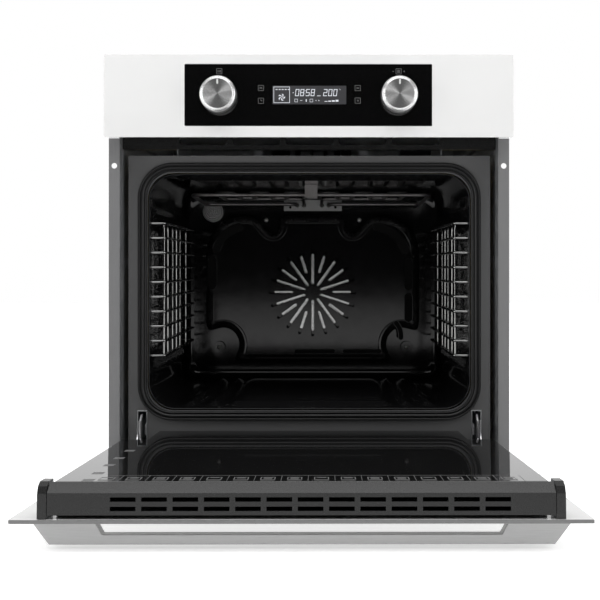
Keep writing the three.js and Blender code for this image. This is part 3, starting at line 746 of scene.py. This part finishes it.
rack_chrome = finish("rack_chrome_plate", {"Metallic": 1.0}, chrome_sheen)
rung_count, rung_low, rung_pitch, rung_front, rung_back = 10, 0.1565, 0.0222, -0.225, 0.104
rung_end, rung_face, hoop_behind, wire_r = 0.2396, 0.2174, 0.004, 0.0019
hoop_low = rung_low + 0.001
hoop_top = hoop_low + (rung_count - 1) * rung_pitch
hoop_spans = ((-0.216, -0.18), (-0.132, -0.09), (-0.05, 0.022))
for side, name in ((-1, "rack_left"), (1, "rack_right")):
    end, face = side * rung_end, side * rung_face
    wires = []
    for z in rung_low + rung_pitch * np.arange(rung_count):
        wires.append(bent([(end, rung_front, z), (face, rung_front, z), (face, rung_back, z),
                           (end, rung_back, z)], 0.007))
    hoop = face + side * hoop_behind
    for front, back in hoop_spans:
        wires.append(bent([(hoop, back, hoop_low), (hoop, back, hoop_top), (hoop, front, hoop_top),
                           (hoop, front, hoop_low)], 0.012))
    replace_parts(rods(name + "_wires", wires, wire_r, rack_chrome, "carcase"), name)

# --- Grill --------------------------------------------------------------------------------------------
# Two tubes of heat-tinted steel hang under the roof: a folded inner one and an outer loop, whose front
# bar sits in a clip. Both end in a steel plate on the back wall.
grill_z, outer_z, ends_z = 0.416, 0.411, 0.407
ends_y, drop_y, lead_y = 0.2, 0.15, 0.128
fold_back, fold_front, fold_pitch = 0.1, -0.03, 0.0295
inner_lead, outer_lead, outer_x, outer_back, outer_front = 0.017, 0.03, 0.2, 0.145, -0.054
runs = fold_pitch * (np.arange(5, -6.5, -1) + 0.5)
inner_path = [(inner_lead, ends_y, ends_z), (inner_lead, drop_y, ends_z), (inner_lead, lead_y, grill_z),
              (runs[0], lead_y, grill_z)]
for index, x in enumerate(runs):
    forward = index % 2 == 0
    if index:
        inner_path.append((x, fold_back if forward else fold_front, grill_z))
    if index < len(runs) - 1:
        inner_path.append((x, fold_front if forward else fold_back, grill_z))
inner_path += [(runs[-1], lead_y, grill_z), (-inner_lead, lead_y, grill_z), (-inner_lead, drop_y, ends_z),
               (-inner_lead, ends_y, ends_z)]
outer_path = [(outer_lead, ends_y, ends_z), (outer_lead, outer_back, ends_z), (outer_x, outer_back, ends_z),
              (outer_x, outer_front, outer_z)]
outer_path += [(-x, y, z) for x, y, z in outer_path[::-1]]
tubes = rods("grill_inner_tube", [bent(inner_path, 0.011)], 0.0031, heat_steel, "carcase")
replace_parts(tubes, "grill_heater_inner")
tubes = rods("grill_outer_tube", [bent(outer_path, 0.018)], 0.0033, heat_steel, "carcase")
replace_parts(tubes, "grill_heater_outer")

# --- Vent strip ---------------------------------------------------------------------------------------
# A strip moulded in black plastic and clipped in under the panel.
# Cooling air leaves through the five openings between its ribs.


def moulded_skin(at):
    grain = at.noise(1500.0, 2.0)
    return {
        "Base Color": grain.between((0.004, 0.004, 0.0041), (0.009, 0.009, 0.009)),
        "Roughness": grain.spread(0.22, 0.32),
        "Normal": grain.bump(0.08, 0.0003),
    }


black_plastic = finish("moulded_black_plastic", {"Specular IOR Level": 0.4}, moulded_skin)


def softened(name, node, material, body, width, segments=3, angle=32):
    """The CAD node's own shape with its edges rounded: coplanar triangles joined, then bevelled by angle."""
    source = nodes[node].data
    mesh = source.copy()
    shell = bmesh.new()
    shell.from_mesh(mesh)
    bmesh.ops.remove_doubles(shell, verts=shell.verts, dist=0.000005)
    bmesh.ops.dissolve_limit(shell, angle_limit=math.radians(1.0), verts=shell.verts, edges=shell.edges)
    shell.to_mesh(mesh)
    shell.free()
    mesh.name = name
    mesh.materials.clear()
    mesh.materials.append(material)
    mesh.polygons.foreach_set("use_smooth", [True] * len(mesh.polygons))
    piece = bpy.data.objects.new(name, mesh)
    bpy.context.scene.collection.objects.link(piece)
    mesh.set_sharp_from_angle(angle=math.radians(angle))
    edge = piece.modifiers.new("edge", "BEVEL")
    edge.width = width
    edge.segments = segments
    edge.limit_method = "ANGLE"
    edge.angle_limit = math.radians(angle)
    edge.harden_normals = True
    edge.use_clamp_overlap = True
    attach(piece, body)
    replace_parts(piece, node)
    return piece


softened("vent_grille", "vent_strip", black_plastic, "carcase", 0.0008)
dress(black_plastic, "panel_carrier", "terminal_box", "blower_rotor")

# --- Control panel ------------------------------------------------------------------------------------
# One pane of white glass, printed from behind, with a black window that holds the display and both knobs.
# The print on it is generic: a framed symbol over each knob and four touch marks beside the display.


def printed_white(at):
    wave = at.noise(9.0)
    return {
        "Base Color": wave.between((0.73, 0.73, 0.726), (0.77, 0.77, 0.767)),
        "Roughness": wave.spread(0.04, 0.09),
    }


def faint_smudge(at):
    wave = at.noise(12.0)
    fine = at.noise(240.0, 1.0)
    return {
        "Base Color": fine.between((0.0022, 0.0022, 0.0023), (0.0034, 0.0034, 0.0034)),
        "Roughness": wave.spread(0.03, 0.1),
    }


def worn_ink(at):
    fleck = at.noise(1800.0)
    return {
        "Base Color": fleck.between((0.13, 0.13, 0.13), (0.2, 0.2, 0.2)),
        "Roughness": fleck.spread(0.4, 0.6),
    }


white_glass = finish("white_printed_glass", {"Coat Weight": 0.6, "Coat Roughness": 0.04}, printed_white)
black_glass = finish("black_window_glass", {}, faint_smudge)
ink = finish("grey_print", {"Specular IOR Level": 0.2}, worn_ink)
softened("panel_glass", "control_panel", white_glass, "carcase", 0.0006)
panel_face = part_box("control_panel")[0].y
window_box = (-0.1806, 0.179, 0.4951, 0.5852)


def thin_sheet(name, outline, front, thick, material, body):
    """A flat plate of an (x, z) outline; its front edge is cut back by a quarter of its thickness."""
    rings = [upright(inset_by(outline, thick * 0.25), front), upright(outline, front + thick * 0.25),
             upright(outline, front + thick)]
    return lofted(name, rings, material, body, smooth=False)


thin_sheet("panel_window", rounded(*window_box, 0.0015), panel_face - 0.00012, 0.0003, black_glass, "carcase")


def blocks(name, spans, front, thick, material, body, lean=0.0, place=upright):
    """Thin print: one small box per (x0, x1, z0, z1), its top pushed sideways by lean times its height."""
    spans = np.array(spans, float)
    base = spans[:, 2].min()
    x = spans[:, [0, 1, 1, 0]]
    z = spans[:, [2, 2, 3, 3]]
    flat = np.stack([x + lean * (z - base), z], -1).reshape(-1, 2)
    points = np.concatenate([place(flat, front), place(flat, front + thick)])
    count = len(spans) * 4
    first = np.arange(len(spans)) * 4
    ring = np.arange(4)
    sides = [[f + k, f + (k + 1) % 4, f + (k + 1) % 4 + count, f + k + count] for f in first for k in ring]
    lids = [[f, f + 3, f + 2, f + 1] for f in first] + [[f + count + k for k in ring] for f in first]
    piece = mesh_piece(name, points, sides + lids, material, body, smooth=False)
    welded(piece)
    return piece


def frame_of(x, z, size, line):
    """Four strokes round a square centred on (x, z)."""
    h = size / 2
    return [(x - h, x + h, z + h - line, z + h), (x - h, x + h, z - h, z - h + line),
            (x - h, x - h + line, z - h, z + h), (x + h - line, x + h, z - h, z + h)]


stroke, symbol_size, bar_half = 0.0005, 0.0082, 0.0003
symbol_z, function_x, temperature_x = 0.5746, -0.1302, 0.1303
touch_marks = [(-0.0696, 0.5503), (-0.0696, 0.5317), (0.0709, 0.5503), (0.0709, 0.5321)]
print_marks = []
for x, z in [(function_x, symbol_z), (temperature_x, symbol_z)] + touch_marks:
    print_marks += frame_of(x, z, symbol_size, stroke)
for k in (-1, 0, 1):
    x, z = function_x + 0.0018 * k, symbol_z + 0.0016 * k
    print_marks.append((x - bar_half, x + bar_half, symbol_z - 0.0018, symbol_z + 0.0018))
    print_marks.append((temperature_x - 0.0022, temperature_x + 0.0022, z - bar_half, z + bar_half))
# A minus and a plus stand beside the temperature symbol, and two short bars fill each touch mark.
print_marks += [(0.1214, 0.1236, 0.5744, 0.5749), (0.1371, 0.1395, 0.5744, 0.5749)]
print_marks += [(0.1381, 0.1386, 0.5734, 0.5758)]
print_marks += [(-0.0712, -0.0704, 0.5488, 0.5518), (-0.0688, -0.068, 0.5488, 0.5518)]
print_marks += [(-0.0699, -0.0693, 0.5316, 0.5342), (-0.0699, -0.0676, 0.5314, 0.532)]
print_marks += [(0.0695, 0.0701, 0.549, 0.5516), (0.0705, 0.0727, 0.5498, 0.5508)]
print_marks += [(0.0698, 0.0704, 0.5308, 0.5334), (0.0714, 0.072, 0.5308, 0.5334)]
blocks("panel_print", print_marks, panel_face - 0.0002, 0.0001, ink, "carcase")

# --- Display ------------------------------------------------------------------------------------------
# A dark grey liquid-crystal field, lit from behind, under the black window.
# Its white figures are a framed fan symbol, the time, the temperature and a row of small signs.


def lit_field(at):
    cells = at.noise(30.0)
    return {"Base Color": cells.between((0.026, 0.026, 0.028), (0.034, 0.034, 0.036))}


def lit_white(at):
    cells = at.noise(60.0)
    return {"Emission Color": cells.between((0.72, 0.76, 0.84), (0.86, 0.88, 0.93))}


field_look = finish("display_field", {"Roughness": 0.3, "Emission Strength": 0.25,
                                      "Emission Color": (0.04, 0.04, 0.045)}, lit_field)
figure_look = finish("display_figures", {"Base Color": (0.1, 0.1, 0.1), "Emission Strength": 0.85}, lit_white)
field = rounded(-0.053, 0.0542, 0.5267, 0.5536, 0.0006)
thin_sheet("display_field", field, panel_face - 0.0002, 0.0002, field_look, "carcase")
segments = {"0": "abcdef", "2": "abged", "5": "afgcd", "8": "abcdefg"}


def figure(sign, x, z, wide, tall, line):
    """One seven-segment figure as strokes; x, z is its lower left corner."""
    mid, gap = z + tall / 2, 0.0002
    left, right, foot, top = x + gap, x + wide - gap, z + gap, z + tall - gap
    bars = {
        "a": (left, right, z + tall - line, z + tall),
        "g": (left, right, mid - line / 2, mid + line / 2),
        "d": (left, right, z, z + line),
        "f": (x, x + line, mid + gap, top),
        "b": (x + wide - line, x + wide, mid + gap, top),
        "e": (x, x + line, foot, mid - gap),
        "c": (x + wide - line, x + wide, foot, mid - gap),
    }
    return [bars[key] for key in segments[sign]]


figure_foot, figure_wide, figure_tall, figure_line = 0.5386, 0.0055, 0.0101, 0.0010
time_places, heat_left, figure_pitch = (-0.0203, -0.0131, -0.0049, 0.0023), 0.0205, 0.0072
heat_places = [heat_left + figure_pitch * k for k in range(3)]
figures = []
for sign, x in zip("0858" + "200", [*time_places, *heat_places]):
    figures += figure(sign, x, figure_foot, figure_wide, figure_tall, figure_line)
# The colon and the bar after the time, the sign before it, and the degree mark after the temperature.
figures += [(-0.0064, -0.0056, 0.5462, 0.547), (-0.0064, -0.0056, 0.5412, 0.542)]
figures += [(0.0118, 0.017, 0.5386, 0.5394), (-0.0243, -0.0225, 0.5431, 0.5439)]
figures += [(0.0438, 0.0446, 0.5474, 0.5487), (0.0425, 0.0433, 0.5487, 0.5492)]
figures_face, figures_thick = panel_face - 0.0003, 0.0001
blocks("display_digits", figures, figures_face, figures_thick, figure_look, "carcase",
       lean=0.12)
fan_sign_x, fan_sign_z = -0.0395, 0.5368
small = frame_of(fan_sign_x, 0.54045, 0.0236, 0.0007)
small += [(-0.0483 + 0.0044 * k, -0.0455 + 0.0044 * k, 0.5475, 0.5488) for k in range(5)]
small += [(0.0228 + 0.0053 * k, 0.027 + 0.0053 * k, 0.5305, 0.5314 + 0.0006 * k) for k in range(4)]
small += frame_of(-0.0185, 0.5322, 0.0046, 0.0005) + frame_of(0.0036, 0.5322, 0.0046, 0.0005)
small += [(-0.0128, -0.0095, 0.532, 0.5326), (-0.0045, -0.0032, 0.5303, 0.5341)]
small += [(0.0098, 0.0108, 0.5316, 0.5328), (0.0138, 0.0152, 0.5319, 0.5325)]
small += [(0.0142, 0.0148, 0.5313, 0.5331)]
blocks("display_symbols", small, figures_face, figures_thick, figure_look, "carcase")


def spiral(start, sweep, steps=8):
    """An edge of a blade: the radius and the angle both grow evenly from the hub of the symbol outwards."""
    t = np.linspace(0, 1, steps)
    angle, reach = start + sweep * t, 0.0008 + 0.0043 * t
    return np.stack([fan_sign_x + reach * np.cos(angle), fan_sign_z + reach * np.sin(angle)], 1)


blade_count, blade_sweep, blade_wide = 5, 0.9, 0.55
for k in range(blade_count):
    start = math.radians(360 / blade_count * k + 10)
    blade = np.concatenate([spiral(start, blade_sweep), spiral(start + blade_wide, blade_sweep)[::-1]])
    thin_sheet(f"display_fan_blade_{k}", blade, figures_face, figures_thick, figure_look, "carcase")
dress(black_plastic, "display_module")

# --- Knobs --------------------------------------------------------------------------------------------
# Two caps turned from aluminium, pressed on the shafts of the encoders behind the panel.
# Each has a spun face inside a bright chamfer, a polished rim, and one short pointer line; a bow-tie
# highlight is painted on the face.


def spun_with_painted_sheen(x, z):
    """The finish of a face turned about (x, z): fine round grooves, with a painted bow-tie highlight and
    shade.
    """
    def spun(at):
        centred = at.make("Mapping", {"Vector": at, "Location": (-x, 0.3, -z)})
        ripple = {"Vector": centred, "Scale": 520.0, "Distortion": 0.6, "Detail": 2.0}
        grooves = centred.make("TexWave", ripple, out="Fac", wave_type="RINGS", rings_direction="Y")
        across, upwards = centred.axis(0), centred.axis(2)
        reach = across * across + upwards * upwards
        # Painted highlight and shade: the colour is lighter where the face runs sideways from its centre and
        # darker above and below it.
        sideways = across * across / (reach + 1e-7)
        painted_sheen = sideways * sideways
        rim = reach > face_r ** 2
        face = painted_sheen * 1.1 + grooves * 0.12
        bright = face.maths("MAXIMUM", face, rim * 0.8)
        return {
            "Base Color": bright.between((0.06, 0.06, 0.06), (0.97, 0.97, 0.97)),
            "Roughness": grooves.spread(0.24, 0.34),
            "Normal": grooves.bump(0.3, 0.0003),
        }
    return spun


face_r = 0.0213
pointer_ink = finish("pointer_paint", {"Base Color": (0.55, 0.55, 0.55), "Roughness": 0.5})
knob_profile = [(0.0002, 0.0), (0.006, 0.0), (0.012, 0.0), (0.018, 0.0), (0.0212, 0.0), (0.0214, 0.0002),
                (0.0216, 0.0003), (0.0219, 0.0002), (0.0222, 0.0001), (0.0238, 0.0006), (0.0252, 0.0020),
                (0.0260, 0.0036), (0.0263, 0.0052), (0.0263, 0.012), (0.0263, 0.0185), (0.0259, 0.0190),
                (0.0248, 0.0192), (0.0248, 0.0218)]
knob_radii, knob_depths = np.array(knob_profile).T
for name in ("function_knob", "temperature_knob"):
    low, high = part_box(name)
    x, z = (low.x + high.x) / 2, (low.z + high.z) / 2
    depth = panel_face - low.y
    rows = turned_rings(x, z, knob_radii, low.y + np.minimum(knob_depths, depth - 0.0003), 128)
    metal = finish(name + "_spun_metal_painted_sheen", {"Metallic": 1.0}, spun_with_painted_sheen(x, z))
    cap = lofted(name + "_cap", rows, metal, name, sharp=24)
    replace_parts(cap, name)
    pointer = stadium(x, z + 0.0145, x, z + 0.0193, 0.0026)
    thin_sheet(name + "_pointer", pointer, low.y - 0.0001, 0.0003, pointer_ink, name)

# --- Door ---------------------------------------------------------------------------------------------
# Three panes: white printed glass outside, clear in the middle, dark heat-mirror glass inside.
# Moulded end pieces hold them apart; a slotted black trim along the top lets the cooling air out.


door_angle = math.radians(87.3)
hinge_y, hinge_z = -0.275, 0.02


def on_door(flat, behind):
    """Points of the shut door, given as x, height over the hinge line and depth behind it, laid open."""
    x, up = flat.T
    y = hinge_y + math.cos(door_angle) * behind - math.sin(door_angle) * up
    z = hinge_z + math.sin(door_angle) * behind + math.cos(door_angle) * up
    return np.stack([x, y, z], -1)


def heat_mirror(at):
    wave = at.noise(7.0)
    dust = at.noise(500.0)
    return {
        "Base Color": dust.between((0.006, 0.006, 0.0062), (0.012, 0.012, 0.0122)),
        "Roughness": wave.spread(0.015, 0.05),
    }


def brushed_sideways(at):
    grain = at.stretched(1.5, 90, 90).noise(30.0, 4.0)
    return {
        "Base Color": grain.between((0.3, 0.3, 0.3), (0.42, 0.42, 0.42)),
        "Roughness": grain.spread(0.3, 0.42),
        "Normal": grain.bump(0.05, 0.0003),
    }


mirror_glass = finish("heat_mirror_glass", {"IOR": 1.75, "Specular IOR Level": 0.6}, heat_mirror)
softened("inner_pane", "door_inner_glass", mirror_glass, "door", 0.0007)
dress(mirror_glass, "door_middle_glass")


def white_with_painted_edge_shade(at):
    """White print inside the pane; its front edge and both ends are painted dark grey, a painted shade."""
    pane_low, pane_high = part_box("door_outer_panel")
    front = at.axis(1) < pane_low.y + 0.0012
    ends = at.maths("ABSOLUTE", at.axis(0)) > pane_high.x - 0.0008
    wave = at.noise(9.0)
    return {
        # Painted shade: the front edge and the two ends of the pane take a dark grey instead of the white.
        "Base Color": (front + ends).between((0.66, 0.66, 0.655), (0.15, 0.15, 0.15)),
        "Roughness": wave.spread(0.1, 0.2),
    }


pane_white = finish("white_pane_with_painted_edge_shade", {}, white_with_painted_edge_shade)
softened("outer_pane", "door_outer_panel", pane_white, "door", 0.0006)
softened("top_trim", "door_top_trim", black_plastic, "door", 0.0006, segments=2)
dress(black_plastic, *both("door_end_cap"))
dress(zinc, "door_bottom_rail", *both("door_side_rail"))
brushed = finish("brushed_handle_metal", {"Metallic": 0.9}, brushed_sideways)
softened("pull_handle", "door_handle", brushed, "door", 0.0007)
print_grey = finish("ceramic_print", {"Base Color": (0.2, 0.2, 0.2), "Roughness": 0.35})
mark_count, mark_left, mark_pitch = 16, -0.204, 0.028
row_marks = [(-0.206, 0.219, 0.4028, 0.4032)]
for k in range(mark_count):
    x = mark_left + mark_pitch * k
    row_marks += frame_of(x, 0.4225, 0.0155, 0.0009)
    row_marks.append((x + 0.0139, x + 0.0143, 0.404, 0.4385))
    row_marks.append((x - 0.0075, x + 0.0075, 0.4335, 0.435))
    row_marks += [(x - 0.0045, x + 0.0045, 0.4165 + 0.004 * j, 0.4178 + 0.004 * j) for j in range(1 + k % 4)]
for up in (0.208, 0.273, 0.328, 0.3845, 0.43):
    row_marks += [(-0.2275, -0.2155, up + 0.005 * j, up + 0.0026 + 0.005 * j) for j in range(-1, 2)]
print_face = 0.0303
blocks("door_print", row_marks, print_face, 0.0003, print_grey, "door", place=on_door)

# --- Hinges -------------------------------------------------------------------------------------------
# Pressed and zinc-plated steel. A case sits in each end of the door, its arm hooks into the receiver in
# the carcase, and a locking lever lies on top.


def plated(at):
    cloud = at.noise(45.0)
    scratch = at.stretched(1, 1, 30).noise(120.0)
    return {
        "Base Color": cloud.between((0.36, 0.36, 0.37), (0.52, 0.52, 0.53)),
        "Roughness": scratch.spread(0.2, 0.42),
    }


plated_steel = finish("plated_hinge_steel", {"Metallic": 1.0}, plated)
for side in ("left", "right"):
    for node, body in ((f"hinge_case_{side}", "door"), (f"hinge_arm_{side}", "carcase"),
                       (f"hinge_latch_{side}", f"hinge_latch_{side}")):
        softened(node + "_plated", node, plated_steel, body, 0.0003, segments=2)
    dress(plated_steel, f"hinge_rod_{side}")

# --- Casing details -----------------------------------------------------------------------------------
# Long beads pressed outwards stiffen the thin side, top and rear sheets, and screws hold their edges.
# A rubber grommet lines the hole in the rear cover where the supply comes in.
side_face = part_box("side_panel_right")[1].x
top_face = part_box("top_cover")[1].z
rear_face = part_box("rear_cover")[1].y
bead_r, bead_bend, bead_end, sunk = 0.005, 0.009, 0.012, 0.0028
beads_out = []
for side in (-1, 1):
    skin = side * (side_face - sunk)
    deep = skin - side * bead_end
    for z in (0.11, 0.3, 0.49):
        beads_out.append([(deep, -0.19, z), (skin, -0.19, z), (skin, 0.21, z), (deep, 0.21, z)])
skin = top_face - sunk
deep = skin - bead_end
for x in (-0.17, 0.0, 0.17):
    beads_out.append([(x, -0.18, deep), (x, -0.18, skin), (x, 0.21, skin), (x, 0.21, deep)])
skin = rear_face - sunk
deep = skin - bead_end
for x in (-0.2, 0.2):
    beads_out.append([(x, deep, 0.07), (x, skin, 0.07), (x, skin, 0.41), (x, deep, 0.41)])
beads_out = [bent(corners, bead_bend) for corners in beads_out]
rods("casing_beads", beads_out, bead_r, zinc, "carcase", around=24)
rear_spots = [(x, z) for x in (-0.268, -0.09, 0.09, 0.268) for z in (0.014, 0.575)]
rear_spots += [(x, z) for x in (-0.268, 0.268) for z in (0.2, 0.39)]
head_r, head_high = 0.004, 0.0018
for index, (x, z) in enumerate(rear_spots):
    screw_head(f"rear_screw_{index}", (x, rear_face, z), (0, 1, 0), head_r, head_high, "carcase")
side_spots = [(y, z) for y in (-0.24, 0.245) for z in (0.02, 0.2, 0.39, 0.57)]
for side, word in ((-1, "left"), (1, "right")):
    for index, (y, z) in enumerate(side_spots):
        screw_head(f"side_screw_{index}_{word}", (side * side_face, y, z), (side, 0, 0), head_r, head_high,
                   "carcase")
top_spots = [(x, y) for x in (-0.26, 0, 0.26) for y in (-0.225, 0.245)]
for index, (x, y) in enumerate(top_spots):
    screw_head(f"top_screw_{index}", (x, y, top_face), (0, 0, 1), head_r, head_high, "carcase")
inlet_x, inlet_z, inlet_around = 0.202, 0.532, 48
inlet_profile = [(0.0078, -0.004), (0.0078, 0.0022), (0.0086, 0.003), (0.0128, 0.003), (0.0138, 0.0022),
                 (0.0142, 0.0002), (0.0108, 0.0002), (0.0108, -0.004)]
inlet_radii, inlet_depths = np.array(inlet_profile).T
inlet_rows = turned_rings(inlet_x, inlet_z, inlet_radii, rear_face + inlet_depths, inlet_around)
inlet_faces = quads(len(inlet_rows), inlet_around, True, wrap=True)
grommet = mesh_piece("inlet_grommet", inlet_rows, inlet_faces, rubber, "carcase")
turn_outwards(grommet)

# --- Studio -------------------------------------------------------------------------------------------
# A pale floor and a white surround, with soft boxes above, in front and at both sides.
# The camera looks straight at the oven from about half its height.


def still_white(at):
    return {"Base Color": at.noise(2.0).between((0.93, 0.93, 0.93), (0.96, 0.96, 0.96))}


span = 6.0
floor_fixed = {"Roughness": 0.9, "Emission Color": (1.0, 1.0, 1.0), "Emission Strength": 0.4}
floor_mesh = bpy.data.meshes.new("floor")
floor_corners = [(-span, -span, 0), (span, -span, 0), (span, span, 0), (-span, span, 0)]
floor_mesh.from_pydata(floor_corners, [], [(0, 1, 2, 3)])
floor = bpy.data.objects.new("floor", floor_mesh)
floor.location.z = -0.0005
bpy.context.scene.collection.objects.link(floor)
floor_mesh.materials.append(finish("floor_white", floor_fixed, still_white))


def soft_box(name, place, aim, wide, tall, watts):
    data = bpy.data.lights.new(name, "AREA")
    data.shape = "RECTANGLE"
    data.size = wide
    data.size_y = tall
    data.energy = watts
    lamp = bpy.data.objects.new(name, data)
    lamp.location = place
    lamp.rotation_euler = (Vector(aim) - Vector(place)).to_track_quat("-Z", "Y").to_euler()
    bpy.context.scene.collection.objects.link(lamp)


soft_box("box_above", (0, -1.3, 2.3), (0, -0.2, 0.3), 2.6, 1.2, 34)
soft_box("box_front", (0, -2.6, 1.7), (0, 0, 0.25), 1.8, 0.5, 5)
soft_box("box_left", (-2.2, -1.3, 0.7), (0, 0, 0.4), 0.7, 1.8, 16)
soft_box("box_right", (2.2, -1.3, 0.7), (0, 0, 0.4), 0.7, 1.8, 16)
world = bpy.data.worlds.new("surround")
world.use_nodes = True
sky = world.node_tree
gaze = Tone(sky, sky.nodes.new("ShaderNodeTexCoord").outputs["Generated"])
halved = {"Vector": gaze, "Scale": (0.5, 0.5, 0.5), "Location": (0.5, 0.5, 0.5)}
backwards = gaze.make("Mapping", halved).axis(1)
gradient = backwards.make("ValToRGB", {"Fac": backwards}, stops=((0.2, 0.004), (0.5, 1.0)))
feed(sky, sky.nodes["Background"].inputs["Color"], gradient)
sky.nodes["Background"].inputs["Strength"].default_value = 1.0
bpy.context.scene.world = world
bpy.context.scene.view_settings.view_transform = "Standard"
lens = bpy.data.cameras.new("camera")
lens.lens = 60.75
lens.sensor_width = 36
lens.shift_x = -0.0495
lens.shift_y = -0.0622
camera = bpy.data.objects.new("camera", lens)
camera.location = (0.0242, -1.755, 0.2938)
camera.rotation_euler = (math.radians(90.113), 0, math.radians(-0.234))
bpy.context.scene.collection.objects.link(camera)
bpy.context.scene.camera = camera
